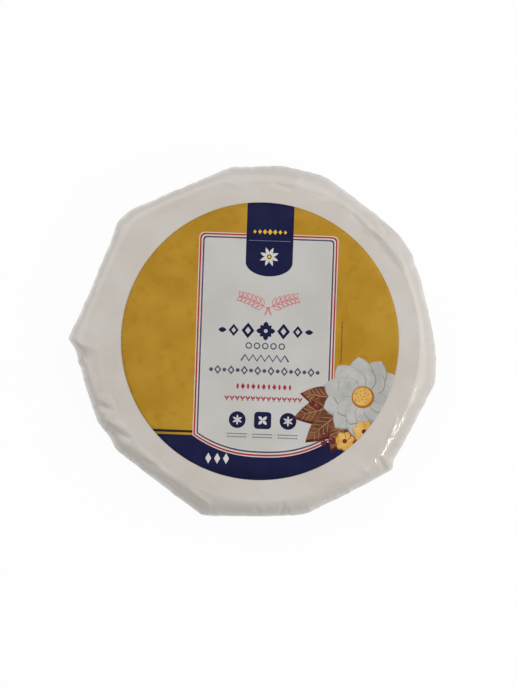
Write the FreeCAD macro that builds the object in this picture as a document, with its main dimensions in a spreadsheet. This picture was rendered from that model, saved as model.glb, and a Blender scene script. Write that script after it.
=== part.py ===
import FreeCAD, Part
import Sketcher
import math
import os

# A one-kilogram wheel of soft white-rind cheese in its wrapping, lying flat with its label up.
# The wrap is one sheet of paper-backed film. It is laid over the top of the wheel, drawn down the side in
# uneven folds, tucked under and pressed flat in pleats that lie over each other like a camera's iris.
# It is shut all round, so the pack is one solid. The round paper label stuck on its top is the other.
#
# Frame: millimetres, +Z up, the origin under the middle of the pack's outline, on the surface it rests on.
# Bearings run anticlockwise from +X, seen from above, and +Y is towards the head of the label.

# Each fold line on the side: its bearing in degrees, how far its foot stands out from the wheel's axis,
# and how far the panel of film between it and the next one bows out (or, below zero, is dented).
FOLD_LINES = (
    (27.5, 112.2, 0.2),
    (36.0, 113.2, 1.3),
    (68.5, 114.1, 0.2),
    (82.5, 114.1, -0.2),
    (99.0, 113.8, 0.1),
    (133.5, 118.2, 0.4),
    (139.5, 119.8, 0.2),
    (145.5, 116.1, -0.7),
    (179.0, 123.4, 0.1),
    (182.6, 118.9, 0.6),
    (206.5, 116.7, -1.0),
    (216.5, 116.1, 0.3),
    (251.5, 118.1, 0.7),
    (284.0, 115.2, 0.8),
    (315.5, 118.3, 0.4),
    (318.5, 115.1, 0.4),
    (346.5, 115.9, 0.4),
    (356.5, 113.4, 1.2),
)

# The driving dimensions: name, millimetres or degrees, and what it is.
SIZES = (
    ("shoulder_radius", 100.0, "where the flat top ends and the film turns down"),
    ("shoulder_height", 29.5, "height of that turn"),
    ("crown_height", 30.0, "the wrapped wheel's flat top"),
    ("crown_flat_radius", 90.0, "where that flat begins to fall away to the shoulder"),
    ("crown_rim_radius", 99.8, "rim of the crown, sunk just inside the shoulder"),
    ("crown_rim_height", 29.36, "height of the crown at that rim"),
    ("crown_root_height", 27.0, "how far down the crown's body reaches into the skirt's"),
    ("widest_height", 8.5, "height at which the folds stand out furthest"),
    ("turned_under_height", 0.8, "where the film turns in under the wheel"),
    ("turned_under_spread", 0.74, "share of the folds' reach that is left there"),
    ("tuck_width", 12.0, "film folded back beside each fold line, at its foot"),
    ("tuck_width_top", 1.2, "the same at the shoulder, where the tuck runs out"),
    ("tuck_step", 0.55, "how far the tuck's free edge stands off the panel, at its foot"),
    ("tuck_step_top", 0.06, "the same at the shoulder"),
    ("pleat_rim_spread", 0.60, "share of the folds' reach where the pleats underneath begin"),
    ("pleat_flat_radius", 93.0, "from here inwards the pleats are pressed flat"),
    ("pleat_waist_radius", 54.0, "halfway in, where the pleats' curve is given a second point"),
    ("pleat_eye_radius", 14.0, "where the pleats' tips meet under the middle"),
    ("pleat_step", 0.65, "thickness of the pleat's free edge, which lies on the next pleat"),
    ("pleat_eye_height", 0.2, "the tips are drawn up this far off the base"),
    ("pleat_sweep", 38.0, "degrees that a pleat is swept round from its rim to its tip"),
    ("pleat_root", 0.6, "how far the pleats' body reaches up into the skirt's"),
    ("label_radius", 87.5, "the round paper label"),
    ("label_thickness", 0.15, "its paper and glue"),
)

UPPER_RINGS = 7  # rings above the widest one, up to the shoulder
UPPER_TURN = 84.0  # degrees of the quarter turn that they divide
LOWER_RINGS = (1.0, 0.85, 0.6)  # rings below it, as shares of the way down to where the film turns under


def add_row(sheet, row, alias, value, note):
    """One driving dimension: its name, its value and what it is."""
    sheet.set(f"A{row}", alias)
    sheet.set(f"B{row}", str(value))
    sheet.set(f"C{row}", note)
    sheet.setAlias(f"B{row}", alias)


def make_sheet(doc):
    """The spreadsheet of driving dimensions."""
    sheet = doc.addObject("Spreadsheet::Sheet", "dims")
    rows = list(SIZES)
    for number, (bearing, reach, bow) in enumerate(FOLD_LINES, 1):
        rows.append((f"bearing_{number:02d}", bearing, "fold line's bearing"))
        rows.append((f"reach_{number:02d}", reach, "its foot's distance from the wheel's axis"))
        rows.append((f"bow_{number:02d}", bow, "bow of the panel that follows it"))
    for row, (alias, value, note) in enumerate(rows, 1):
        add_row(sheet, row, alias, value, note)
    doc.recompute()
    return sheet


def fold_lines(sheet):
    """The fold lines as the sheet holds them, in order round the wheel, with bearings in radians."""
    numbers = range(1, len(FOLD_LINES) + 1)
    names = [[f"{name}_{number:02d}" for name in ("bearing", "reach", "bow")] for number in numbers]
    return [(math.radians(sheet.get(b)), sheet.get(r), sheet.get(w)) for b, r, w in names]


def polar(radius, bearing, height=0.0):
    return FreeCAD.Vector(radius * math.cos(bearing), radius * math.sin(bearing), height)


def outward(point):
    """Unit vector straight away from the wheel's axis."""
    return FreeCAD.Vector(point.x, point.y, 0).normalize()


def mix(low, high, share):
    return low + (high - low) * share


# ---- The skirt: the film down the side, drawn through rings from under the wheel up to its shoulder ----


def ring_levels(sheet):
    """The rings from the bottom up, each with its height as an expression on the sheet and its spread,
    which is 0 on the round shoulder and 1 where the folds stand out furthest."""
    drop = "(dims.widest_height - dims.turned_under_height)"
    rise = "(dims.shoulder_height - dims.widest_height)"
    lost = 1 - sheet.get("turned_under_spread")
    levels = []
    for share in LOWER_RINGS:
        levels.append((f"dims.widest_height - {drop} * {share}", 1 - lost * share**5))
    for step in range(UPPER_RINGS + 1):
        turn = UPPER_TURN * step / UPPER_RINGS
        height = f"dims.widest_height + {rise} * sin({turn} deg)"
        levels.append((height, math.cos(math.radians(turn)) ** 1.5))
    return levels


def ring_wire(sheet, spread):
    """A ring at height 0. Each panel of film gives it three edges: the tuck that is folded back on the
    panel, the tuck's free edge, and the rest of the panel."""
    shoulder = sheet.get("shoulder_radius")
    tuck_width = mix(sheet.get("tuck_width_top"), sheet.get("tuck_width"), spread)
    tuck_step = mix(sheet.get("tuck_step_top"), sheet.get("tuck_step"), spread)
    widest_tuck = 0.42  # of the panel's own width, for the narrow panels
    lines = fold_lines(sheet)
    edges = []
    for (bearing, reach, bow), (next_bearing, next_reach, _) in zip(lines, lines[1:] + lines[:1]):
        start = polar(mix(shoulder, reach, spread), bearing)
        end = polar(mix(shoulder, next_reach, spread), next_bearing)
        half_panel = ((next_bearing - bearing) % math.tau) / 2
        sag = mix(shoulder * (1 - math.cos(half_panel)), bow, spread)
        middle = (start + end) * 0.5
        panel = Part.Arc(start, middle + outward(middle) * sag, end)
        first = panel.FirstParameter
        last = panel.LastParameter
        seat_at = mix(first, last, min(widest_tuck, tuck_width / (end - start).Length))
        seat = panel.value(seat_at)
        free_edge = seat + outward(seat) * tuck_step
        back = panel.value((first + seat_at) / 2)
        edges.append(Part.Arc(start, back + outward(back) * (tuck_step * 0.6), free_edge).toShape())
        edges.append(Part.LineSegment(free_edge, seat).toShape())
        edges.append(Part.Arc(seat, panel.value((seat_at + last) / 2), end).toShape())
    return Part.Wire(edges)


def make_skirt(doc, sheet):
    rings = []
    for number, (height, spread) in enumerate(ring_levels(sheet), 1):
        ring = doc.addObject("Part::Feature", f"ring_{number:02d}")
        ring.Shape = ring_wire(sheet, spread)
        ring.Placement = FreeCAD.Placement()
        ring.setExpression("Placement.Base.z", height)
        rings.append(ring)
    skirt = doc.addObject("Part::Loft", "skirt")
    skirt.Sections = rings
    skirt.Solid = True
    skirt.Ruled = True
    return skirt


# ---- The crown and the label: a turned top that is flat in the middle, and a paper disc on the flat ----

# A sketch's own numbers for the ends of a line and the centre of a circle, its origin and its upright axis.
START, END, CENTRE = 1, 2, 3
ORIGIN = (-1, 1)
UPRIGHT = -2


def sketched_body(doc, name, role):
    """A body with an empty sketch on one of its own origin planes."""
    body = doc.addObject("PartDesign::Body", name)
    sketch = body.newObject("Sketcher::SketchObject", f"{name}_sketch")
    plane = next(item for item in body.Origin.OriginFeatures if item.Role == role)
    sketch.AttachmentSupport = [(plane, "")]
    sketch.MapMode = "FlatFace"
    return body, sketch


def make_crown(doc, sheet):
    """The top of the wrapped wheel, turned about its axis and sunk into the skirt."""
    body, sketch = sketched_body(doc, "crown", "XZ_Plane")
    corners = (
        ("root", 0.0, sheet.get("crown_root_height")),
        ("skirt", sheet.get("crown_rim_radius"), sheet.get("crown_root_height")),
        ("rim", sheet.get("crown_rim_radius"), sheet.get("crown_rim_height")),
        ("flat", sheet.get("crown_flat_radius"), sheet.get("crown_height")),
        ("top", 0.0, sheet.get("crown_height")),
    )
    points = [FreeCAD.Vector(radius, height, 0) for _, radius, height in corners]
    lines = {}
    for (name, _, _), point, after in zip(corners, points, points[1:] + points[:1]):
        lines[name] = sketch.addGeometry(Part.LineSegment(point, after))
    order = list(lines.values())
    for line, after in zip(order, order[1:] + order[:1]):
        sketch.addConstraint(Sketcher.Constraint("Coincident", line, END, after, START))
    sketch.addConstraint(Sketcher.Constraint("PointOnObject", lines["root"], START, UPRIGHT))
    sketch.addConstraint(Sketcher.Constraint("PointOnObject", lines["top"], START, UPRIGHT))
    sketch.addConstraint(Sketcher.Constraint("Horizontal", lines["root"]))
    sketch.addConstraint(Sketcher.Constraint("Vertical", lines["skirt"]))
    sketch.addConstraint(Sketcher.Constraint("Horizontal", lines["flat"]))
    bindings = (
        ("rim_radius", "DistanceX", "rim", "crown_rim_radius"),
        ("rim_height", "DistanceY", "rim", "crown_rim_height"),
        ("flat_radius", "DistanceX", "flat", "crown_flat_radius"),
        ("flat_height", "DistanceY", "flat", "crown_height"),
        ("root_height", "DistanceY", "root", "crown_root_height"),
    )
    for name, kind, line, cell in bindings:
        limit = Sketcher.Constraint(kind, *ORIGIN, lines[line], START, sheet.get(cell))
        sketch.renameConstraint(sketch.addConstraint(limit), name)
        sketch.setExpression(f"Constraints.{name}", f"dims.{cell}")
    turned = body.newObject("PartDesign::Revolution", "crown_turned")
    turned.Profile = sketch
    turned.ReferenceAxis = (sketch, ["V_Axis"])
    turned.Angle = 360
    body.Tip = turned
    return body


def make_label(doc, sheet):
    """The round paper label, which lies on the crown's flat."""
    body, sketch = sketched_body(doc, "label", "XY_Plane")
    upwards = FreeCAD.Vector(0, 0, 1)
    circle = Part.Circle(FreeCAD.Vector(0, 0, 0), upwards, sheet.get("label_radius"))
    edge = sketch.addGeometry(circle)
    sketch.addConstraint(Sketcher.Constraint("Coincident", edge, CENTRE, *ORIGIN))
    sketch.renameConstraint(sketch.addConstraint(Sketcher.Constraint("Radius", edge, circle.Radius)), "edge")
    sketch.setExpression("Constraints.edge", "dims.label_radius")
    paper = body.newObject("PartDesign::Pad", "label_paper")
    paper.Profile = sketch
    paper.setExpression("Length", "dims.label_thickness")
    body.Tip = paper
    body.setExpression("Placement.Base.z", "dims.crown_height")
    return body


# ---- The pleats under the wheel: one for each fold line, each with its free edge on the next pleat ----


def pleat_rows(sheet):
    """The points that shape the pleats, as rows from the rim in to the eye. Each point of a row is where a
    pleat's free edge crosses it, as a low point on that pleat and a high one on the pleat it hides."""
    lines = fold_lines(sheet)
    shoulder = sheet.get("shoulder_radius")
    base = sheet.get("turned_under_height")
    step = sheet.get("pleat_step")
    tip = sheet.get("pleat_eye_height")
    sweep = math.radians(sheet.get("pleat_sweep"))
    spread = sheet.get("pleat_rim_spread")
    rims = [mix(shoulder, reach, spread) for _, reach, _ in lines]
    levels = (
        (None, base, base),
        (sheet.get("pleat_flat_radius"), 0.0, step),
        (sheet.get("pleat_waist_radius"), 0.0, step),
        (sheet.get("pleat_eye_radius"), tip, tip + step / 2),
    )
    rows = []
    for radius, low, high in levels:
        row = []
        for index, (bearing, _, _) in enumerate(lines):
            at = rims[index] if radius is None else radius
            inward = 1 - at / rims[index]
            even = lines[0][0] + math.tau * index / len(lines) + sweep
            swept = mix(bearing, even, inward)
            row.append((polar(at, swept, low), polar(at, swept, high)))
        rows.append(row)
    return rows


def facet(*points):
    return Part.Face(Part.makePolygon([*points, points[0]]))


def make_pleats(doc, sheet):
    """The pressed pleats as one body with flat facets: a fan of thin wedges, closed above by a flat face
    inside the skirt."""
    rows = pleat_rows(sheet)
    rim = [low for low, _ in rows[0]]
    root = FreeCAD.Vector(0, 0, sheet.get("pleat_root"))
    tip = sheet.get("pleat_eye_height")
    middle = FreeCAD.Vector(0, 0, tip + sheet.get("pleat_step") / 4)
    facets = [facet(*[point + root for point in rim])]
    for index in range(len(rim)):
        after = (index + 1) % len(rim)
        facets.append(facet(rim[index], rim[after], rim[after] + root, rim[index] + root))
        for outer, inner in zip(rows, rows[1:]):
            facets.append(facet(outer[index][0], outer[after][1], inner[after][1]))
            facets.append(facet(outer[index][0], inner[after][1], inner[index][0]))
            edge = [outer[index][0], inner[index][0], inner[index][1]]
            if outer is not rows[0]:
                edge.append(outer[index][1])
            facets.append(facet(*edge))
        eye = rows[-1]
        facets.append(facet(eye[index][0], eye[after][1], middle))
        facets.append(facet(eye[index][0], middle, eye[index][1]))
    pleats = doc.addObject("Part::Feature", "pleats")
    pleats.Shape = Part.Solid(Part.Shell(facets))
    return pleats


# ---- The part: the pack as one solid, and the label on it ----


def main():
    doc = FreeCAD.newDocument("wrapped_cheese_wheel")
    sheet = make_sheet(doc)
    skirt = make_skirt(doc, sheet)
    crown = make_crown(doc, sheet)
    pleats = make_pleats(doc, sheet)
    label = make_label(doc, sheet)
    pack = doc.addObject("Part::MultiFuse", "pack")
    pack.Shapes = [skirt, crown, pleats]
    doc.recompute()

    # The wheel's axis isn't in the middle of the uneven folds, so both pieces move over to put them there.
    middle = pack.Shape.optimalBoundingBox(False).Center
    row = len(SIZES) + 3 * len(FOLD_LINES) + 1
    add_row(sheet, row, "axis_x", -middle.x, "the wheel's axis from the middle of the outline")
    add_row(sheet, row + 1, "axis_y", -middle.y, "the same, towards the head of the label")
    for piece, name in ((pack, "wrapped_cheese"), (label, "label")):
        piece.Label = name
        piece.setExpression("Placement.Base.x", "dims.axis_x")
        piece.setExpression("Placement.Base.y", "dims.axis_y")
    doc.recompute()

    for item in doc.Objects:
        if "Invalid" in item.State or "Error" in item.State:
            raise RuntimeError(f"{item.Label} failed: {item.State}")
    os.makedirs("parts", exist_ok=True)
    for piece in (pack, label):
        shape = piece.Shape
        if shape.isNull() or not shape.isValid() or len(shape.Solids) != 1:
            raise RuntimeError(f"{piece.Label} isn't one valid solid")
        box = shape.optimalBoundingBox(False)
        print(f"{piece.Label}: {shape.Volume / 1000:.1f} cm3, {len(shape.Faces)} faces, "
              f"{box.XLength:.1f} x {box.YLength:.1f} x {box.ZLength:.2f} mm, foot at {box.ZMin:.3f}")
        shape.exportStep(f"parts/{piece.Label}.step")


main()
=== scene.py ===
import math

import bpy
import numpy as np
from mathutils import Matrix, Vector, geometry, noise


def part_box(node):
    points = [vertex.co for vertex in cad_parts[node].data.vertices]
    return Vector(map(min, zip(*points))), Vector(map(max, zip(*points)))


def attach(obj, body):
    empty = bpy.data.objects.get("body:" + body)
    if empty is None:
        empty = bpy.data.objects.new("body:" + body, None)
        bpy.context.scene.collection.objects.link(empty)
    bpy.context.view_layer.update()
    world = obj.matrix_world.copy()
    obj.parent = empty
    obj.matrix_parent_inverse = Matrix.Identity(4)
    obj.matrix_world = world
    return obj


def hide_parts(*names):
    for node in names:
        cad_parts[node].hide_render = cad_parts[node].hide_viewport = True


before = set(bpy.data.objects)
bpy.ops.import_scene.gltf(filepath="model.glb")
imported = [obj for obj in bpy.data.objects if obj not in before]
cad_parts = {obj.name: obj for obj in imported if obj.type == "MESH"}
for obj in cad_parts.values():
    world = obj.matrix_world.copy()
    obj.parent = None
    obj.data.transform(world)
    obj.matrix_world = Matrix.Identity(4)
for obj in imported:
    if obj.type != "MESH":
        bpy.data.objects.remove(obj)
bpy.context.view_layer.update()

# A whole one-kilogram wheel of soft white-rind cheese in its wrapping, lying flat with its label up.
# Metres, +Z up, +Y towards the head of the label, as in the CAD. Bearings run anticlockwise from +X.

# ---- The wheel's place ----
# The label lies on the wheel's flat top and is round with it, so its middle is the wheel's axis.
MM = 0.001
label_low, label_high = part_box("label")
wheel_axis = (label_low + label_high) / 2
flat_top = label_low.z


# ---- The wrap ----
# One sheet of white paper with a clear glossy film on it, laid over the wheel and drawn down its side by
# hand. What is too much goes into folds at uneven places, which run on under the wheel as flat pleats.

SHOULDER_RADIUS = 100 * MM  # the radius of the round flat top
TOP_FALL = 0.62 * MM  # how far the flat top would fall by the time it is 104 mm out
WIDEST_HEIGHT = 8.5 * MM  # the fold lines' feet, where the wrap reaches out furthest
SHOULDER_RISE = 21 * MM  # from there up to the top's rim
SHOULDER_BEND = 1.2  # 1 would make the shoulder a quarter of an ellipse, more draws it in
TURNED_UNDER = 0.8 * MM  # the height at which the film has turned in under the heel
HEEL_DRAW = 0.26  # the share of the fold lines' reach that the heel takes back
UNDERSIDE = 0.62 * MM  # the height of the flat pleats underneath
WIDEST_TUCK = 0.42  # no tuck on the side takes more of its panel than this share
PLEAT_SWEEP = math.radians(38)  # how far the pleats run round on their way to the middle underneath

# Each fold line: bearing, its foot's distance from the wheel's axis and the bow of the panel after it in
# millimetres, how far the corner is rounded off, the width and lift of the film tucked back beside it, and
# the shoulder's fullness: at 1 it rounds over at once, below 1 it runs out flat before it turns down.
FOLD_LINES = (
    (27.5, 112.4, 0.2, 5.0, 4.0, 0.04, 1.0),
    (36.0, 113.4, 1.3, 5.0, 9.0, 0.06, 1.0),
    (68.5, 114.1, 0.2, 2.0, 12.0, 0.10, 1.0),
    (82.5, 114.1, -0.2, 2.0, 6.0, 0.12, 1.0),
    (99.0, 113.8, 0.1, 2.0, 12.0, 0.10, 0.65),
    (133.5, 118.2, 0.4, 3.0, 5.0, 0.08, 0.45),
    (139.5, 119.8, 0.2, 3.5, 5.0, 0.08, 0.42),
    (145.5, 116.1, -0.7, 3.5, 12.0, 0.10, 0.42),
    (179.0, 123.4, 0.1, 0.8, 2.5, 0.06, 0.42),
    (182.6, 118.9, 0.6, 0.8, 9.0, 0.12, 0.45),
    (206.5, 116.7, -1.0, 1.6, 7.0, 0.22, 0.65),
    (216.5, 116.1, 0.3, 1.8, 12.0, 0.20, 0.85),
    (251.5, 118.1, 0.7, 1.0, 10.0, 0.25, 0.9),
    (284.0, 115.2, 0.8, 3.5, 11.0, 0.25, 0.9),
    (315.5, 118.3, 0.4, 1.2, 2.2, 0.30, 0.8),
    (318.5, 115.1, 0.4, 1.2, 11.0, 0.20, 0.8),
    (346.5, 115.9, 0.4, 2.0, 4.0, 0.15, 1.0),
    (356.5, 113.4, 1.2, 4.0, 12.0, 0.15, 1.0),
)

# The mesh has a column about every millimetre round the wrap. The short ear's panel and the panels on both
# sides of it take finer ones, for the small sharp creases there.
COLUMN_WIDTH = 0.95 * MM
FINE_COLUMN_WIDTH = 0.55 * MM
FINE_PANELS = (13, 14, 15)


def mix(low, high, share):
    """The value that lies that share of the way from `low` to `high`."""
    return low + (high - low) * share


def smooth(low, high, value):
    """0 below `low`, 1 above `high`, and a smooth rise between them."""
    share = np.clip((value - low) / (high - low), 0.0, 1.0)
    return share * share * (3 - 2 * share)


def wrap_rows():
    """The wrap's section, from the middle of its top, over the shoulder and the heel, to the middle
    underneath. A row holds the share of the radius, the spread towards the fold lines' feet, the height,
    the share of the pleats' sweep, and how far its tucks stand off sideways and downwards."""
    rows = []
    under_label = (30, 55, 74, 83)
    in_sight = (*np.arange(86, 95, 1.0), *np.arange(95.4, 99.9, 0.55))
    for radius in (*under_label, *in_sight):
        height = flat_top - TOP_FALL * smooth(86, 104, radius)
        rows.append((radius * MM / SHOULDER_RADIUS, 0.0, height, 0.0, 0.0, 0.0))
    for turn in np.radians((89, 88, 87, 86, *np.linspace(84.5, 0, 42))):
        spread = math.cos(turn) ** SHOULDER_BEND
        rows.append((1.0, spread, WIDEST_HEIGHT + SHOULDER_RISE * math.sin(turn), 0.0, spread, 0.0))
    for share in np.linspace(0.08, 1.0, 12):
        height = mix(WIDEST_HEIGHT, TURNED_UNDER, share)
        round_under = share**3
        rows.append((1.0, 1 - HEEL_DRAW * share**5, height, 0.0, 1 - round_under, round_under))
    for share in np.linspace(0.04, 0.92, 26):
        height = mix(TURNED_UNDER + 0.02 * MM, UNDERSIDE, smooth(0.0, 0.12, share))
        rows.append((1 - share, (1 - HEEL_DRAW) * (1 - share) ** 1.5, height, share, 0.0, 1.0))
    return rows


def panel_columns():
    """The wrap's columns, panel by panel: the panel's number, and where the column is across its tuck
    (0 to 1) and then across the rest of the panel (1 to 2). The tuck's free edge has two columns."""
    columns = []
    for index, (bearing, reach, _, _, tuck, _, _) in enumerate(FOLD_LINES):
        after = FOLD_LINES[(index + 1) % len(FOLD_LINES)][0]
        width = math.radians((after - bearing) % 360) * reach * MM
        pitch = FINE_COLUMN_WIDTH if index in FINE_PANELS else COLUMN_WIDTH
        tuck_width = min(WIDEST_TUCK * width, tuck * MM)
        in_tuck = max(3, round(tuck_width / pitch))
        in_rest = max(4, round((width - tuck_width) / pitch))
        for step in range(in_tuck + 1):
            columns.append((index, step / in_tuck, 1.0))
        for step in range(in_rest):
            columns.append((index, 1 + step / in_rest, 0.0))
    return columns


def wrap_points(rows, columns):
    """The plain folded wrap, before its wrinkles, as a grid of points: one row of the grid for each row
    and one column for each column. Also how far each point stands off for its tuck."""
    bearing, foot, bow, rounding, tuck_width, tuck_lift, fullness = np.array(FOLD_LINES).T
    bearing = np.radians(bearing)
    count = len(FOLD_LINES)
    number = np.array([column[0] for column in columns])
    across = np.array([column[1] for column in columns])
    in_tuck = np.array([column[2] for column in columns])
    even = bearing[0] + math.tau * np.arange(count) / count + PLEAT_SWEEP
    grid = np.zeros((len(rows), len(columns), 3))
    lift = np.zeros((len(rows), len(columns)))
    for line, (scale, spread, height, sweep, sideways, downwards) in enumerate(rows):
        turned = mix(bearing, even, sweep)
        full = spread**fullness if height > WIDEST_HEIGHT else spread
        reach = scale * mix(SHOULDER_RADIUS, foot * MM, full)
        corner = np.stack([reach * np.cos(turned), reach * np.sin(turned)], axis=1)
        after = np.roll(corner, -1, axis=0)
        sector = (np.roll(turned, -1) - turned) % math.tau
        middle = (corner + after) / 2
        out = middle / np.linalg.norm(middle, axis=1, keepdims=True)
        sag = scale * mix(SHOULDER_RADIUS * (1 - np.cos(sector / 2)), bow * MM, full)
        length = np.linalg.norm(after - corner, axis=1)

        def on_panel(panel, along):
            """Points on those panels' edges, each that share of the way along its own."""
            straight = corner[panel] * (1 - along)[:, None] + after[panel] * along[:, None]
            return straight + out[panel] * (sag[panel] * 4 * along * (1 - along))[:, None]

        # A tuck is narrow at the flat top and as wide as the list says at its foot.
        opened = max(spread, 0.55 * (sweep > 0))
        tuck = np.minimum(WIDEST_TUCK + 0.4 * sweep, (1.2 * MM + tuck_width * MM * opened) / length)[number]
        along = np.where(across <= 1, across * tuck, tuck + (across - 1) * (1 - tuck))
        flat = on_panel(number, along)

        # Near a corner the film is bent round it, not creased: the point slides on to a curve from the
        # panel before the corner to the panel after it.
        soft = np.minimum(rounding * MM * spread + 0.05 * MM, 0.45 * length)
        for nearest, distance in ((number, along * length[number]),
                                  ((number + 1) % count, -(1 - along) * length[number])):
            radius = np.minimum(soft[nearest], 0.45 * length[(nearest - 1) % count])
            near = np.abs(distance) < radius
            share = ((distance + radius) / (2 * radius))[:, None]
            before = on_panel((nearest - 1) % count, 1 - radius / length[(nearest - 1) % count])
            behind = on_panel(nearest, radius / length[nearest])
            bent = before * (1 - share) ** 2 + corner[nearest] * 2 * share * (1 - share) + behind * share**2
            flat = np.where(near[:, None], bent, flat)
        grid[line, :, :2] = flat
        grid[line, :, 2] = height
        to_free_edge = np.clip(across, 0, 1) * in_tuck
        lift[line] = to_free_edge * (tuck_lift[number] * sideways + 0.5 * downwards) * MM
    return grid, lift


# Creases that the film took as it was pressed round the wheel, seen from above: each runs from a start to
# an end, in millimetres from the wheel's axis, and stands up (or, below zero, dips) by its height, over
# its half width. The last value is how sharp its crest is: 1 is a tent, 2 a soft roll.
CREASES = (
    # The right side, from its head round to the short ear.
    (60, 78.5, 77, 65, 1.1, 4.2, 1.3),
    (75, 67.5, 93, 46, 2.1, 4.6, 1.2),
    (76, 76, 92, 57, -1.6, 4.2, 1.3),
    (58, 80, 66, 72, -0.8, 3.2, 1.2),
    (70, 68, 76, 62, -0.7, 2.6, 1.1),
    (98, 42, 106, 12, 0.4, 5.0, 1.6),
    (96, 46, 103, 52, -0.8, 3.6, 1.2),
    (97.6, -37.2, 90.2, -46.0, 0.26, 1.1, 1.0),
    (86.4, -46.4, 82.4, -59.6, 0.56, 1.6, 1.0),
    (91, -50.5, 86.6, -47.6, -0.28, 2.2, 1.3),
    (82.9, -54.6, 78.8, -67.4, 0.22, 1.1, 1.0),
    (82.6, -61, 84.6, -66.5, -0.25, 1.4, 1.0),
    (75, -73.5, 80, -82, -1.0, 3.2, 1.1),
    (64, -80, 72, -86, 0.35, 3.4, 1.3),
    # The left side, from the long ear down.
    (-119, 1, -104, -5, 0.9, 3.4, 1.0),
    (-117, -5, -108, -12, -0.9, 3.4, 1.0),
    (-102, -4, -101, -26, 0.3, 3.0, 1.4),
    (-98, -34, -90, -52, 0.8, 4.2, 1.0),
    (-103, -40, -92, -44, -1.2, 3.6, 1.0),
    (-97, -49, -86, -55, 1.1, 3.4, 1.0),
    (-92, -57, -82, -62, -1.2, 3.6, 1.0),
    (-80, -66, -56, -86, 0.7, 3.4, 1.2),
    (-74, -76, -64, -79, -0.9, 3.0, 1.0),
    (-60, -86, -50, -93, -0.7, 2.8, 1.1),
    (-46, -92, -30, -104, 0.8, 2.6, 1.0),
    # The foot.
    (-33, -101, -31, -110, 0.5, 2.0, 1.0),
    (-3, -103, -1, -111, -0.6, 2.0, 1.0),
    (1.5, -103, 2, -111, 0.4, 1.8, 1.0),
    (15, -102, 13, -111, -0.8, 2.0, 1.0),
    (19, -103, 20, -111, 0.5, 1.8, 1.0),
    (36, -92, 58, -84, 0.5, 4.0, 1.4),
    # The head, and from there down the left.
    (-24, 101, -10, 97, 0.4, 3.2, 1.2),
    (6, 101, 20, 96, -0.6, 3.4, 1.1),
    (20, 98, 30, 108, 0.7, 3.0, 1.1),
    (36, 92, 50, 92, -0.6, 3.6, 1.2),
    (-52, 86, -40, 97, 0.5, 4.0, 1.4),
    (-70, 74, -60, 82, -0.4, 4.0, 1.4),
    (-84, 66, -78, 82, 0.6, 3.4, 1.3),
    (-98, 22, -106, 34, 0.35, 4.0, 1.5),
)


def crease_heights(across, up, height):
    """How far the creases lift each point, given its place from the wheel's axis and its height. A crease
    tapers to its ends, and all of them die out towards the heel."""
    total = np.zeros_like(across)
    for x0, y0, x1, y1, rise, half_width, crest in CREASES:
        run = np.array([x1 - x0, y1 - y0]) * MM
        length = np.linalg.norm(run)
        from_start_x = across - x0 * MM
        from_start_y = up - y0 * MM
        along = (from_start_x * run[0] + from_start_y * run[1]) / length**2
        nearest = np.clip(along, 0, 1)
        away = np.hypot(from_start_x - nearest * run[0], from_start_y - nearest * run[1])
        taper = np.sin(math.pi * np.clip(0.08 + 0.84 * along, 0, 1)) ** 0.7
        body = np.clip(1 - away / (half_width * MM), 0, 1) ** crest
        total += rise * MM * body * taper
    return total * smooth(3.5 * MM, 10 * MM, height) * smooth(2.5 * MM, 9 * MM, height)


# How deep the flutes and the facets are, in millimetres, and how large a facet is.
BROAD_FLUTES = 1.3
NARROW_FLUTES = 0.8
FACETS = 0.30
FINE_FACETS = 0.09
FACET_SIZE = 13 * MM


def wrinkle_heights(points):
    """Flutes that run down the side where the film is gathered, and the small facets of pressed paper.
    A flute is a hollow between crests, so the film stays taut across the folds' feet."""
    total = np.zeros(points.shape[:2])
    for line in range(points.shape[0]):
        for column in range(points.shape[1]):
            x, y, z = points[line, column]
            bearing = math.atan2(y, x)
            radius = math.hypot(x, y)
            below_shoulder = min(1.0, max(0.0, (flat_top - 2 * MM - z) / (8 * MM)))
            from_feet = min(1.0, abs(z - WIDEST_HEIGHT) / (8 * MM))
            gathered = below_shoulder * (0.22 + 0.78 * from_feet)
            lean = 3 * noise.noise(Vector((x, y, z)) * 30)
            ring = Vector((math.cos(bearing), math.sin(bearing), 0))
            broad = -abs(noise.noise(ring * 9 + Vector((0, lean * 0.1, 4.2))))
            narrow = -abs(noise.noise(ring * 23 + Vector((1.7, lean * 0.2, 9.1))))
            place = Vector((x, y, z)) / FACET_SIZE
            place += Vector((0.35 * noise.noise(place * 1.7), 0.35 * noise.noise(place * 1.7 + ring), 0))
            cell = noise.voronoi(place)[0][0]
            fine = noise.voronoi(place * 2.6 + Vector((3.1, 0.4, 7.7)))[0][0]
            off_the_flat = 1.0 if z < 3 * MM else smooth(84 * MM, 96 * MM, radius)
            facets = (FACETS * cell + FINE_FACETS * fine) * (0.25 + 0.75 * off_the_flat)
            facets *= 0.35 + 0.65 * from_feet
            flutes = gathered * (BROAD_FLUTES * broad + NARROW_FLUTES * narrow)
            total[line, column] = MM * (flutes + facets - FACETS / 2)
    return total


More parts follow.
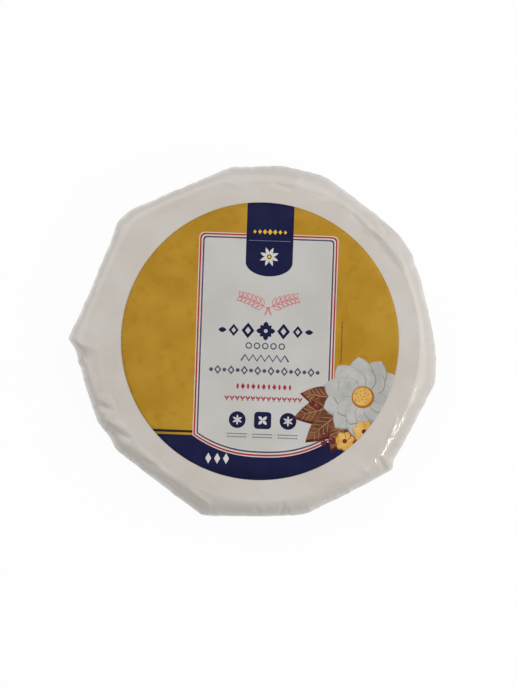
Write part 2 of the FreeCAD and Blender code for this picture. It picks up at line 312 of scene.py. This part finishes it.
def wrinkled_points():
    """The folded wrap with its wrinkles, creases and tucks, each point moved square to the film."""
    grid, lift = wrap_points(wrap_rows(), panel_columns())
    downhill = np.gradient(grid, axis=0)
    round_wheel = np.roll(grid, -2, axis=1) - np.roll(grid, 2, axis=1)
    outwards = np.cross(downhill, round_wheel)
    outwards /= np.maximum(np.linalg.norm(outwards, axis=2, keepdims=True), 1e-12)
    wrinkles = wrinkle_heights(grid)

    # The wheel's weight presses the pleats underneath, and nothing reaches down into the table.
    underneath = grid[:, :, 2] < TURNED_UNDER + 0.3 * MM
    wrinkles = np.where(underneath, 0.45 * wrinkles, wrinkles)
    wrinkles += crease_heights(grid[:, :, 0], grid[:, :, 1], grid[:, :, 2])
    points = grid + outwards * (wrinkles + lift)[:, :, None]
    points[:, :, 2] = np.clip(points[:, :, 2], 0.02 * MM, None)
    points[:, :, 0] += wheel_axis.x
    points[:, :, 1] += wheel_axis.y
    return points


FREE_EDGE_ANGLE = math.radians(38)  # a bend sharper than this is a tuck's free edge and isn't smoothed


def build_wrap():
    """The wrap as one closed skin: the grid of points, closed to a fan in the middle of its top and of
    its underside."""
    points = wrinkled_points()
    line_count, column_count = points.shape[:2]
    top = (wheel_axis.x, wheel_axis.y, flat_top)
    underside = (wheel_axis.x, wheel_axis.y, float(points[-1, :, 2].mean()))
    vertices = [top, *map(tuple, points.reshape(-1, 3)), underside]
    last = len(vertices) - 1
    faces = []
    for column in range(column_count):
        beside = (column + 1) % column_count
        faces.append((0, 1 + column, 1 + beside))
        for line in range(line_count - 1):
            here = 1 + line * column_count
            below = here + column_count
            faces.append((here + column, below + column, below + beside, here + beside))
        foot = 1 + (line_count - 1) * column_count
        faces.append((foot + column, last, foot + beside))
    mesh = bpy.data.meshes.new("folded_wrap")
    mesh.from_pydata(vertices, [], faces)
    mesh.validate()
    mesh.polygons.foreach_set("use_smooth", [True] * len(mesh.polygons))
    mesh.set_sharp_from_angle(angle=FREE_EDGE_ANGLE)
    wrap = bpy.data.objects.new("folded_wrap", mesh)
    bpy.context.scene.collection.objects.link(wrap)
    return wrap


wrap = build_wrap()


def make_wrap_material():
    """White paper under clear film: pale warm grey in soft clouds, fine paper fibres and a clear gloss."""
    material = bpy.data.materials.new("white_film_on_paper")
    material.use_nodes = True
    nodes = material.node_tree.nodes
    links = material.node_tree.links
    film = nodes["Principled BSDF"]
    film.inputs["Roughness"].default_value = 0.45
    film.inputs["IOR"].default_value = 1.46
    film.inputs["Coat Weight"].default_value = 0.6
    film.inputs["Coat Roughness"].default_value = 0.11
    place = nodes.new("ShaderNodeTexCoord")
    clouds = nodes.new("ShaderNodeTexNoise")
    clouds.inputs["Scale"].default_value = 38
    clouds.inputs["Detail"].default_value = 3
    tint = nodes.new("ShaderNodeValToRGB")
    tint.color_ramp.elements[0].position = 0.35
    tint.color_ramp.elements[0].color = (0.525, 0.480, 0.430, 1)
    tint.color_ramp.elements[1].position = 0.65
    tint.color_ramp.elements[1].color = (0.560, 0.525, 0.480, 1)
    links.new(place.outputs["Object"], clouds.inputs["Vector"])
    links.new(clouds.outputs["Fac"], tint.inputs["Fac"])
    links.new(tint.outputs["Color"], film.inputs["Base Color"])
    fibres = nodes.new("ShaderNodeTexNoise")
    fibres.inputs["Scale"].default_value = 900
    fibres.inputs["Detail"].default_value = 4
    relief = nodes.new("ShaderNodeBump")
    relief.inputs["Strength"].default_value = 0.12
    relief.inputs["Distance"].default_value = 0.0003
    links.new(place.outputs["Object"], fibres.inputs["Vector"])
    links.new(fibres.outputs["Fac"], relief.inputs["Height"])
    links.new(relief.outputs["Normal"], film.inputs["Normal"])
    return material


wrap.data.materials.append(make_wrap_material())
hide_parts("wrapped_cheese")
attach(wrap, "root")


# ---- The label ----
# A disc of satin paper, printed in offset inks and stuck flat on the wrap. The print is a plain trade
# pattern: a gold ground, a pale panel with ruled edges, a navy foot and tab, rows of small ornaments and a
# bouquet. Its shapes are in millimetres from the label's middle, and are cut into the paper's own mesh.

LABEL_RADIUS = (label_high.x - label_low.x) / 2 / MM  # in millimetres, as the print is drawn
LABEL_PAPER = 0.13 * MM
PRINT_TURN = math.radians(-2)  # the print sits a little askew on the wheel
PRINT_MIDDLE = 3.4  # the panel's middle line, to the right of the label's

prints = []


def lay(ink, outline):
    """Prints a closed outline in that ink over everything printed before it."""
    prints.append((ink, [tuple(point) for point in outline]))


def ring_points(x, y, across, up, count=28):
    """Points round an ellipse."""
    turns = [math.tau * step / count for step in range(count)]
    return [(x + across * math.cos(turn), y + up * math.sin(turn)) for turn in turns]


def turned(outline, turn, x=0.0, y=0.0):
    """The outline turned about the origin and then moved to (x, y)."""
    cosine, sine = math.cos(turn), math.sin(turn)
    return [(x + px * cosine - py * sine, y + px * sine + py * cosine) for px, py in outline]


def leaf(length, width, count=9):
    """A pointed leaf along +X from the origin."""
    upper = [(length * step / count, width / 2 * math.sin(math.pi * step / count)) for step in range(count)]
    lower = [(length - px, -py) for px, py in upper]
    return upper + lower


def petal(length, width, count=10):
    """A petal along +X from the origin, widest past its middle and round at its end."""
    upper = []
    for step in range(count):
        share = step / count
        upper.append((length * share, width / 2 * math.sin(math.pi * share**1.35) ** 0.75))
    lower = [(px, -py) for px, py in upper[1:][::-1]]
    return [*upper, (length, 0), *lower]


def lozenge(across, up):
    """A lozenge round the origin, given its half width and half height."""
    return [(across, 0), (0, up), (-across, 0), (0, -up)]


def stroke(points, width):
    """A line of that width through the points, as one closed outline."""
    left, right = [], []
    for index, (x, y) in enumerate(points):
        x0, y0 = points[max(0, index - 1)]
        x1, y1 = points[min(len(points) - 1, index + 1)]
        length = math.hypot(x1 - x0, y1 - y0)
        aside = (-(y1 - y0) / length * width / 2, (x1 - x0) / length * width / 2)
        left.append((x + aside[0], y + aside[1]))
        right.append((x - aside[0], y - aside[1]))
    return left + right[::-1]


def slab(x0, y0, x1, y1, corner=0.0, count=5):
    """An upright rectangle, with its corners rounded."""
    if corner == 0:
        return [(x0, y0), (x1, y0), (x1, y1), (x0, y1)]
    outline = []
    for x, y, start in ((x1 - corner, y1 - corner, 0), (x0 + corner, y1 - corner, 90),
                        (x0 + corner, y0 + corner, 180), (x1 - corner, y0 + corner, 270)):
        for step in range(count + 1):
            turn = math.radians(start + 90 * step / count)
            outline.append((x + corner * math.cos(turn), y + corner * math.sin(turn)))
    return outline


def panel_outline(inset):
    """The panel, that far inside its edge: straight sides, rounded shoulders and a foot that swells down
    in a shallow curve."""
    half = 43.3 - inset
    top = 67.2 - inset
    side_foot = -60.2 + 0.5 * inset
    swell = 12.2 - 0.6 * inset
    corner = 3.2 - 0.5 * inset
    outline = []
    for x, start in ((half - corner, 0), (-half + corner, 90)):
        for step in range(7):
            turn = math.radians(start + 15 * step)
            outline.append((x + corner * math.cos(turn), top - corner + corner * math.sin(turn)))
    for step in range(41):
        along = -1 + 2 * step / 40
        outline.append((half * along, side_foot - swell * (1 - abs(along) ** 2.4)))
    return [(PRINT_MIDDLE + px, py) for px, py in outline]


def foot_edge(height):
    """The navy foot and the rules above it: everything below that height."""
    return [(-90, height), (90, height), (90, -95), (-90, -95)]


# The ground, the navy foot and the two rules over it.
lay("gold_ink", ring_points(0, 0, LABEL_RADIUS + 3, LABEL_RADIUS + 3, 72))
lay("black_ink", foot_edge(-57.5))
lay("gold_ink", foot_edge(-59.0))
lay("black_ink", foot_edge(-60.4))
lay("navy_ink", foot_edge(-60.8))

# The panel, from its outermost rule inwards.
lay("cream_ink", panel_outline(-0.6))
lay("red_ink", panel_outline(0.0))
lay("cream_ink", panel_outline(1.0))
lay("slate_ink", panel_outline(1.9))
lay("white_ink", panel_outline(2.9))
lay("panel_ink", panel_outline(3.3))

# The navy tab that hangs from the label's head over the panel, with a small gold and white ornament.
TAB_MIDDLE = 4.0
TAB_HALF = 14.8
TAB_FLOWER = 53.4
tab = [(TAB_MIDDLE + TAB_HALF, 92), (TAB_MIDDLE - TAB_HALF, 92)]
tab += [(TAB_MIDDLE - TAB_HALF * math.cos(math.radians(turn)), 50 - 9 * math.sin(math.radians(turn)))
        for turn in range(0, 181, 6)]
lay("navy_ink", tab)
lay("tab_rule_ink", slab(TAB_MIDDLE - 13.2, 63.2, TAB_MIDDLE + 13.2, 63.6))
for step in range(-3, 4):
    size = 1.9 - 0.22 * abs(step)
    lay("yellow_ink", turned(lozenge(size * 0.8, size), 0, TAB_MIDDLE + 3.2 * step, 69.0))
for step in range(8):
    lay("white_ink", turned(leaf(6.2, 2.1), math.radians(22.5 + 45 * step), TAB_MIDDLE, TAB_FLOWER))
lay("navy_ink", ring_points(TAB_MIDDLE, TAB_FLOWER, 1.5, 1.5, 16))
lay("yellow_ink", ring_points(TAB_MIDDLE, TAB_FLOWER, 0.9, 0.9, 12))

# Two sprays of leaves in thin red outline, tied in the middle.
SPRAY_MIDDLE = PRINT_MIDDLE + 1.0
SPRAY_FOOT = 20.8
for side in (-1, 1):
    stem = [(SPRAY_MIDDLE + side * 19 * step / 14, SPRAY_FOOT + 7.5 * math.sin(step / 14 * 1.3))
            for step in range(15)]
    for step in range(2, 14, 2):
        x, y = stem[step]
        rise = math.atan2(stem[step + 1][1] - y, side * (stem[step + 1][0] - x))
        for lean in (-0.8, 0.8):
            heading = rise + lean if side > 0 else math.pi - rise - lean
            size = 6.4 - 0.16 * step
            lay("faded_red_ink", turned(leaf(size, 2.6), heading, x, y))
            lay("panel_ink", turned(leaf(size - 1.5, 1.5), heading,
                                    x + 0.7 * math.cos(heading), y + 0.7 * math.sin(heading)))
    lay("faded_red_ink", stroke(stem, 0.45))
    lay("faded_red_ink", turned(leaf(5.4, 1.1), math.radians(-90 + side * 26), SPRAY_MIDDLE, SPRAY_FOOT))
lay("faded_red_ink", ring_points(SPRAY_MIDDLE, SPRAY_FOOT, 1.3, 1.1, 14))

# The band of large navy ornaments: a flower between lozenges and leaves.
BAND_HEIGHT = 6.6
for side in (-1, 1):
    for place, size in ((11.2, 5.0), (20.2, 3.9)):
        x = PRINT_MIDDLE + side * place
        lay("navy_ink", turned(lozenge(size * 0.82, size), 0, x, BAND_HEIGHT))
        lay("panel_ink", turned(lozenge(size * 0.36, size * 0.46), 0, x, BAND_HEIGHT))
    outwards = 0 if side > 0 else math.pi
    lay("navy_ink", turned(leaf(5.4, 3.2), outwards, PRINT_MIDDLE + side * 24.6, BAND_HEIGHT))
for step in range(8):
    length, width = ((6.0, 3.4), (5.0, 2.4))[step % 2]
    lay("navy_ink", turned(petal(length, width), math.radians(45 * step), PRINT_MIDDLE, BAND_HEIGHT))
lay("panel_ink", ring_points(PRINT_MIDDLE, BAND_HEIGHT, 1.2, 1.2, 14))

# A row of small open rings, a zigzag and a chain, in slate.
RINGS_HEIGHT = -2.9
ZIGZAG_HEIGHT = -10.6
CHAIN_HEIGHT = -18.6
for step in range(-2, 3):
    x = PRINT_MIDDLE + 5.2 * step
    lay("slate_ink", ring_points(x, RINGS_HEIGHT, 2.1, 2.1, 20))
    lay("panel_ink", ring_points(x, RINGS_HEIGHT, 1.3, 1.3, 18))
zigzag = [(PRINT_MIDDLE - 15 + 2.5 * step, ZIGZAG_HEIGHT + (1.9 if step % 2 else -1.9))
          for step in range(13)]
lay("slate_ink", stroke(zigzag, 1.15))
for step in range(-8, 9):
    x = PRINT_MIDDLE + 4.2 * step
    if step % 2:
        lay("slate_ink", turned(lozenge(2.3, 2.9), 0, x, CHAIN_HEIGHT))
        lay("panel_ink", turned(lozenge(1.15, 1.5), 0, x, CHAIN_HEIGHT))
    else:
        lay("slate_ink", ring_points(x, CHAIN_HEIGHT, 1.25, 1.25, 14))

# Two rows of small red ornaments: drops and lozenges, and sprouts of two leaves.
DROPS_HEIGHT = -28.6
SPROUTS_HEIGHT = -36.9
for step in range(-5, 6):
    x = PRINT_MIDDLE + 3.3 * step
    if step % 2:
        lay("red_ink", ring_points(x, DROPS_HEIGHT, 0.75, 1.7, 12))
    else:
        lay("red_ink", turned(lozenge(1.35, 2.0), 0, x, DROPS_HEIGHT))
for step in range(-7, 8):
    x = PRINT_MIDDLE + 3.3 * step
    for lean in (-1, 1):
        lay("red_ink", turned(leaf(2.7, 1.1), math.radians(90 + 32 * lean), x, SPROUTS_HEIGHT))
    lay("red_ink", ring_points(x, SPROUTS_HEIGHT - 0.4, 0.5, 0.5, 8))

# Three navy medals with small pale motifs, and rows of fine dots under them.
MEDALS_HEIGHT = -49.8
for x, kind in ((PRINT_MIDDLE - 16, "round"), (PRINT_MIDDLE, "square"), (PRINT_MIDDLE + 16, "round")):
    if kind == "square":
        lay("navy_ink", slab(x - 5.4, MEDALS_HEIGHT - 5.4, x + 5.4, MEDALS_HEIGHT + 5.4, 2.2))
        for step in range(4):
            lay("white_ink", turned(leaf(3.7, 1.9), math.radians(45 + 90 * step), x, MEDALS_HEIGHT))
    else:
        lay("navy_ink", ring_points(x, MEDALS_HEIGHT, 5.3, 5.3, 36))
        for step in range(6):
            lay("white_ink", turned(leaf(3.4, 1.2), math.radians(30 + 60 * step), x, MEDALS_HEIGHT))
    for row in range(2):
        for step in range(-5, 6):
            spot = slab(-0.36, -0.36, 0.36, 0.36)
            lay("slate_ink", turned(spot, 0, x + 1.15 * step, -58.6 - 1.9 * row))

# Three pale lozenges on the navy foot, and a rule of fine ticks beside the panel.
for step in range(3):
    lay("white_ink", turned(lozenge(1.9, 3.4), 0, -30 + 5.6 * step, -74.6))
for step in range(24):
    lay("black_ink", slab(51.0, 13.5 - 1.1 * step, 51.8, 13.5 - 1.1 * step + 0.55))

# A corner bouquet, cut by the label's edge: brown leaves, a large pale bloom, two small yellow ones and a
# few dark berries.
RIB_LEAN = 0.75
for heading, length, width in ((172, 31, 13), (196, 36, 15), (221, 36, 15), (247, 31, 14), (276, 26, 12)):
    heading = math.radians(heading)
    foot_x, foot_y = 60 + 2 * math.cos(heading), -36 + 2 * math.sin(heading)
    lay("leaf_edge_ink", turned(leaf(length + 1.6, width + 1.6, 14), heading, foot_x + 0.5, foot_y - 0.8))
    lay("leaf_ink", turned(leaf(length, width, 14), heading, foot_x, foot_y))
    for step in range(3, 9):
        along = length * step / 10
        x, y = foot_x + along * math.cos(heading), foot_y + along * math.sin(heading)
        reach = 0.42 * width * math.sin(math.pi * step / 10) / math.sin(RIB_LEAN)
        for lean in (-RIB_LEAN, RIB_LEAN):
            lay("leaf_rib_ink", turned(leaf(reach, 0.5, 4), heading + lean, x, y))
    lay("leaf_rib_ink", turned(leaf(length * 0.94, 0.8, 8), heading, foot_x, foot_y))

BLOOM_X, BLOOM_Y = 66, -33
for count, length, width, start in ((11, 25.5, 15.5, 0), (11, 18.5, 11.5, 16)):
    for step in range(count):
        heading = math.radians(start + 360 * step / count)
        shade = petal(length + 0.5, width + 0.9)
        lay("petal_shade_ink", turned(shade, heading, BLOOM_X + 0.2, BLOOM_Y - 0.4))
        lay("petal_ink", turned(petal(length, width), heading, BLOOM_X, BLOOM_Y))
        lay("petal_shade_ink", turned(leaf(length * 0.7, 0.6, 8), heading, BLOOM_X, BLOOM_Y))

# The bloom's heart, with seeds in a spiral that turns by the golden angle.
HEART_X, HEART_Y = BLOOM_X - 0.4, BLOOM_Y + 0.5
lay("heart_shade_ink", ring_points(BLOOM_X, BLOOM_Y, 7.2, 7.0, 30))
lay("heart_ink", ring_points(HEART_X, HEART_Y, 6.0, 5.8, 28))
for step in range(14):
    turn = 2.39996 * step
    out = math.sqrt(step + 0.4)
    x, y = HEART_X + 1.35 * out * math.cos(turn), HEART_Y + 1.3 * out * math.sin(turn)
    lay("heart_shade_ink", ring_points(x, y, 0.42, 0.42, 8))

for x, y, size in ((67.5, -54.5, 7.2), (55.5, -61.0, 6.2)):
    for step in range(7):
        heading = math.radians(20 + 360 * step / 7)
        lay("heart_shade_ink", turned(petal(size + 0.5, 0.72 * size + 0.7), heading, x + 0.2, y - 0.3))
        lay("heart_ink", turned(petal(size, 0.72 * size), heading, x, y))
    lay("berry_ink", ring_points(x, y, 1.5, 1.5, 14))
for x, y, size in ((43, -57.5, 2.3), (47.5, -60.6, 2.1), (42.2, -62.3, 1.9),
                   (37.4, -39.6, 2.1), (33.6, -37.2, 1.8)):
    lay("berry_shade_ink", ring_points(x + 0.3, y - 0.4, size, size, 18))
    lay("berry_ink", ring_points(x, y, size * 0.88, size * 0.88, 18))
    lay("petal_ink", ring_points(x - 0.3 * size, y + 0.35 * size, 0.16 * size, 0.16 * size, 8))


def inside(outline, x, y):
    """Which of the points (x, y) lie inside the closed outline."""
    found = np.zeros(len(x), bool)
    for (x0, y0), (x1, y1) in zip(outline, outline[1:] + outline[:1]):
        if y0 == y1:
            continue
        crosses = (y0 > y) != (y1 > y)
        found ^= crosses & (x < (x1 - x0) * (y - y0) / (y1 - y0) + x0)
    return found


def label_rise(x, y):
    """How far the paper stands off the wheel's flat, which it follows with a few faint swells."""
    return 0.10 * MM * noise.noise(Vector((x * 0.035, y * 0.035, 2.5)))


GRID_SPACING = 2.6  # between the spots that let the paper follow its swells


def cut_paper(inks):
    """The flat paper with the printed outlines cut into it: its corners in millimetres, its faces, and
    the number of each face's ink, which is the one that was laid over it last."""
    edge = ring_points(0, 0, LABEL_RADIUS, LABEL_RADIUS, 300)
    outlines = [edge] + [turned(outline, PRINT_TURN) for _, outline in prints]
    spots = []
    lines = []
    for outline in outlines:
        first = len(spots)
        spots.extend(outline)
        lines.extend((first + step, first + (step + 1) % len(outline)) for step in range(len(outline)))
    steps = int(LABEL_RADIUS / GRID_SPACING) + 1
    for row in range(-steps, steps + 1):
        for column in range(-steps, steps + 1):
            x = (column + 0.5 * (row % 2)) * GRID_SPACING
            y = row * GRID_SPACING * 0.866
            if math.hypot(x, y) < LABEL_RADIUS - 1.2:
                spots.append((x, y))
    spots = [Vector(spot) for spot in spots]
    flat_spots, _, triangles, *_ = geometry.delaunay_2d_cdt(spots, lines, [], 0, 1e-5)
    place = np.array([tuple(spot) for spot in flat_spots])
    triangles = np.array(triangles)
    middle = place[triangles].mean(axis=1)
    on_paper = inside(edge, middle[:, 0], middle[:, 1])
    triangles = triangles[on_paper]
    middle = middle[on_paper]
    ink_of = np.zeros(len(triangles), int)
    for (ink, _), outline in zip(prints, outlines[1:]):
        ink_of[inside(outline, middle[:, 0], middle[:, 1])] = inks.index(ink)

    used = np.unique(triangles)
    number = {old: new for new, old in enumerate(used)}
    faces = [tuple(number[corner] for corner in face) for face in triangles]
    return [(place[old][0], place[old][1]) for old in used], faces, ink_of


def build_label():
    """The printed paper on the wheel's flat, with its cut edge and its unprinted back."""
    inks = sorted({ink for ink, _ in prints})
    top, faces, ink_of = cut_paper(inks)
    vertices = []
    for x, y in top:
        vertices.append((wheel_axis.x + x * MM, wheel_axis.y + y * MM, label_high.z + label_rise(x, y)))
    rim = sorted((index for index, (x, y) in enumerate(top) if math.hypot(x, y) > LABEL_RADIUS - 0.02),
                 key=lambda index: math.atan2(top[index][1], top[index][0]))
    back = {}
    for index in rim:
        x, y, z = vertices[index]
        back[index] = len(vertices)
        vertices.append((x, y, z - LABEL_PAPER))
    printed = len(faces)
    for here, after in zip(rim, rim[1:] + rim[:1]):
        faces.append((here, back[here], back[after], after))
    faces.append(tuple(back[index] for index in reversed(rim)))

    mesh = bpy.data.meshes.new("printed_label")
    mesh.from_pydata(vertices, [], faces)
    for ink in inks:
        mesh.materials.append(make_ink(ink))
    mesh.materials.append(make_ink("bare_paper"))
    for index, face in enumerate(mesh.polygons):
        face.material_index = int(ink_of[index]) if index < printed else len(inks)
        face.use_smooth = index < printed

    # The print's place on the flat sheet, seen from above.
    sheet = mesh.uv_layers.new(name="OFBake")
    span = 2.1 * LABEL_RADIUS * MM
    for loop in mesh.loops:
        x, y, _ = mesh.vertices[loop.vertex_index].co
        sheet.data[loop.index].uv = (0.5 + (x - wheel_axis.x) / span, 0.5 + (y - wheel_axis.y) / span)
    label = bpy.data.objects.new("printed_label", mesh)
    bpy.context.scene.collection.objects.link(label)
    return label


def make_clouded_ink_group():
    """Offset ink that lies a little unevenly: broad clouds and small dabs between two tones of a colour."""
    group = bpy.data.node_groups.new("clouded_ink", "ShaderNodeTree")
    for name, kind in (("Deep", "NodeSocketColor"), ("Light", "NodeSocketColor"),
                       ("Clouds per metre", "NodeSocketFloat"), ("Dabs", "NodeSocketFloat")):
        group.interface.new_socket(name=name, in_out="INPUT", socket_type=kind)
    group.interface.new_socket(name="Color", in_out="OUTPUT", socket_type="NodeSocketColor")
    nodes = group.nodes
    links = group.links
    given = nodes.new("NodeGroupInput")
    place = nodes.new("ShaderNodeTexCoord")
    clouds = nodes.new("ShaderNodeTexNoise")
    clouds.inputs["Detail"].default_value = 2.5
    links.new(place.outputs["Object"], clouds.inputs["Vector"])
    links.new(given.outputs["Clouds per metre"], clouds.inputs["Scale"])
    spread = nodes.new("ShaderNodeMapRange")
    spread.inputs["From Min"].default_value = 0.34
    spread.inputs["From Max"].default_value = 0.66
    links.new(clouds.outputs["Fac"], spread.inputs["Value"])
    finer = nodes.new("ShaderNodeMath")
    finer.operation = "MULTIPLY"
    finer.inputs[1].default_value = 3.4
    links.new(given.outputs["Clouds per metre"], finer.inputs[0])
    dabs = nodes.new("ShaderNodeTexNoise")
    dabs.inputs["Detail"].default_value = 1.0
    links.new(place.outputs["Object"], dabs.inputs["Vector"])
    links.new(finer.outputs[0], dabs.inputs["Scale"])
    dab_spread = nodes.new("ShaderNodeMapRange")
    dab_spread.inputs["From Min"].default_value = 0.56
    dab_spread.inputs["From Max"].default_value = 0.70
    links.new(dabs.outputs["Fac"], dab_spread.inputs["Value"])
    weigh = nodes.new("ShaderNodeMath")
    weigh.operation = "MULTIPLY"
    links.new(dab_spread.outputs["Result"], weigh.inputs[0])
    links.new(given.outputs["Dabs"], weigh.inputs[1])
    left = nodes.new("ShaderNodeMath")
    left.operation = "SUBTRACT"
    left.use_clamp = True
    links.new(spread.outputs["Result"], left.inputs[0])
    links.new(weigh.outputs[0], left.inputs[1])
    blend = nodes.new("ShaderNodeMix")
    blend.data_type = "RGBA"
    links.new(left.outputs[0], blend.inputs["Factor"])
    links.new(given.outputs["Deep"], blend.inputs[6])
    links.new(given.outputs["Light"], blend.inputs[7])
    result = nodes.new("NodeGroupOutput")
    links.new(blend.outputs[2], result.inputs["Color"])
    return group


clouded_ink = make_clouded_ink_group()


def screen_colour(red, green, blue):
    """The linear colour for one that a screen shows as red, green, blue out of 255."""
    parts = [value / 255 for value in (red, green, blue)]
    linear = [part / 12.92 if part <= 0.04045 else ((part + 0.055) / 1.055) ** 2.4 for part in parts]
    return (*linear, 1)


# Each ink: its deep tone, its light tone, how many clouds of it to the metre and the weight of its dabs.
INKS = {
    "gold_ink": ((169, 126, 36), (181, 140, 48), 42, 0.5),
    "navy_ink": ((21, 22, 56), (27, 29, 62), 60, 0.0),
    "black_ink": ((24, 22, 22), (34, 30, 28), 60, 0.0),
    "slate_ink": ((70, 70, 92), (84, 84, 104), 80, 0.2),
    "panel_ink": ((189, 186, 181), (196, 194, 190), 30, 0.0),
    "cream_ink": ((206, 190, 178), (212, 198, 188), 60, 0.0),
    "white_ink": ((200, 196, 192), (210, 207, 203), 60, 0.0),
    "red_ink": ((150, 48, 60), (165, 60, 70), 80, 0.2),
    "faded_red_ink": ((190, 112, 114), (200, 130, 130), 80, 0.2),
    "yellow_ink": ((214, 172, 52), (226, 188, 64), 80, 0.0),
    "tab_rule_ink": ((92, 94, 122), (110, 112, 138), 80, 0.0),
    "leaf_ink": ((92, 54, 38), (132, 88, 62), 110, 0.5),
    "leaf_edge_ink": ((70, 30, 24), (96, 42, 32), 90, 0.4),
    "leaf_rib_ink": ((150, 108, 74), (166, 124, 88), 90, 0.0),
    "petal_ink": ((168, 167, 162), (188, 187, 184), 70, 0.3),
    "petal_shade_ink": ((134, 131, 124), (150, 147, 140), 90, 0.2),
    "heart_ink": ((208, 152, 66), (218, 184, 108), 160, 0.4),
    "heart_shade_ink": ((150, 88, 42), (172, 108, 52), 120, 0.3),
    "berry_ink": ((96, 34, 34), (122, 52, 46), 200, 0.3),
    "berry_shade_ink": ((48, 20, 22), (64, 30, 28), 200, 0.3),
    "bare_paper": ((190, 186, 180), (200, 197, 192), 60, 0.0),
}


def make_ink(name):
    """That ink's material: a satin print in two tones."""
    deep, light, clouds, dabs = INKS[name]
    material = bpy.data.materials.new(name)
    material.use_nodes = True
    nodes = material.node_tree.nodes
    links = material.node_tree.links
    satin = nodes["Principled BSDF"]
    satin.inputs["Roughness"].default_value = 0.5
    satin.inputs["IOR"].default_value = 1.45
    satin.inputs["Specular IOR Level"].default_value = 0.08
    colour = nodes.new("ShaderNodeGroup")
    colour.node_tree = clouded_ink
    colour.inputs["Deep"].default_value = screen_colour(*deep)
    colour.inputs["Light"].default_value = screen_colour(*light)
    colour.inputs["Clouds per metre"].default_value = clouds
    colour.inputs["Dabs"].default_value = dabs
    links.new(colour.outputs["Color"], satin.inputs["Base Color"])
    return material


label = build_label()
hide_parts("label")
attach(label, "root")


# ---- The table, the light and the camera ----
# A wide matt white table under soft studio lamps: a broad key and two fills, and one small low window,
# whose glint shows on the film's creases. The camera looks straight down on the pack.


def seen_itself(tree):
    """An output that is 1 where the camera, or the pack's gloss, looks straight at a surface or the room."""
    rays = tree.nodes.new("ShaderNodeLightPath")
    seen = rays.outputs["Is Camera Ray"]
    for kind in ("Is Glossy Ray", "Is Transmission Ray"):
        either = tree.nodes.new("ShaderNodeMath")
        either.operation = "MAXIMUM"
        tree.links.new(seen, either.inputs[0])
        tree.links.new(rays.outputs[kind], either.inputs[1])
        seen = either.outputs[0]
    return seen


def build_floor():
    """A plain table that keeps the pack's soft shadow. Seen itself it glows white, and what it throws up
    at the pack's side is the light of a pale grey one."""
    mesh = bpy.data.meshes.new("white_table")
    half = 12.0
    corners = [(-half, -half, 0), (half, -half, 0), (half, half, 0), (-half, half, 0)]
    mesh.from_pydata(corners, [], [(0, 1, 2, 3)])
    table = bpy.data.objects.new("white_table", mesh)
    bpy.context.scene.collection.objects.link(table)
    material = bpy.data.materials.new("white_table")
    material.use_nodes = True
    nodes = material.node_tree.nodes
    links = material.node_tree.links
    matt = nodes["Principled BSDF"]
    matt.inputs["Base Color"].default_value = (0.45, 0.45, 0.45, 1)
    matt.inputs["Roughness"].default_value = 1.0
    glow = nodes.new("ShaderNodeEmission")
    glow.inputs["Strength"].default_value = 1.055
    part = nodes.new("ShaderNodeMath")
    part.operation = "MULTIPLY"
    part.inputs[1].default_value = 0.9
    blend = nodes.new("ShaderNodeMixShader")
    links.new(seen_itself(material.node_tree), part.inputs[0])
    links.new(part.outputs[0], blend.inputs["Fac"])
    links.new(matt.outputs["BSDF"], blend.inputs[1])
    links.new(glow.outputs["Emission"], blend.inputs[2])
    links.new(blend.outputs["Shader"], nodes["Material Output"].inputs["Surface"])
    mesh.materials.append(material)
    return table


build_floor()


def build_room():
    """A plain white room: even light from all round, and pure white where it is seen itself."""
    room = bpy.data.worlds.new("white_room")
    room.use_nodes = True
    nodes = room.node_tree.nodes
    links = room.node_tree.links
    strength = nodes.new("ShaderNodeMapRange")
    strength.inputs["To Min"].default_value = 0.21
    strength.inputs["To Max"].default_value = 1.0
    links.new(seen_itself(room.node_tree), strength.inputs["Value"])
    links.new(strength.outputs["Result"], nodes["Background"].inputs["Strength"])
    nodes["Background"].inputs["Color"].default_value = (1, 1, 1, 1)
    return room


bpy.context.scene.world = build_room()


def add_lamp(name, bearing, elevation, distance, width, height, watts):
    """A soft lamp that points at the middle of the pack, `distance` away on that bearing, in degrees."""
    light = bpy.data.lights.new(name, "AREA")
    light.shape = "RECTANGLE"
    light.size = width
    light.size_y = height
    light.energy = watts
    lamp = bpy.data.objects.new(name, light)
    bearing = math.radians(bearing)
    elevation = math.radians(elevation)
    flat = distance * math.cos(elevation)
    lamp.location = (flat * math.cos(bearing), flat * math.sin(bearing), distance * math.sin(elevation))
    lamp.rotation_euler = Vector(lamp.location).to_track_quat("Z", "Y").to_euler()
    bpy.context.scene.collection.objects.link(lamp)


add_lamp("broad_key", 4, 32, 3.0, 3.0, 3.0, 45)
add_lamp("head_fill", 74, 38, 3.0, 3.6, 3.6, 31)
add_lamp("left_fill", 160, 30, 3.0, 5.0, 3.2, 68)
add_lamp("low_window", -31, 36, 1.6, 0.5, 0.12, 7.0)

# The camera hangs a metre above the wheel's top, a little to the left and to the foot of its axis. Its
# sensor's long side lies along the view's height.
CAMERA_DISTANCE = 1.0
VIEW_HEIGHT = 433.44 * MM
SENSOR = 36
camera_data = bpy.data.cameras.new("camera")
camera_data.sensor_width = SENSOR
camera_data.lens = SENSOR * CAMERA_DISTANCE / VIEW_HEIGHT
camera = bpy.data.objects.new("camera", camera_data)
camera.location = (wheel_axis.x - 1.26 * MM, wheel_axis.y - 1.70 * MM, flat_top + CAMERA_DISTANCE)
bpy.context.scene.collection.objects.link(camera)
bpy.context.scene.camera = camera
bpy.context.scene.view_settings.view_transform = "Standard"
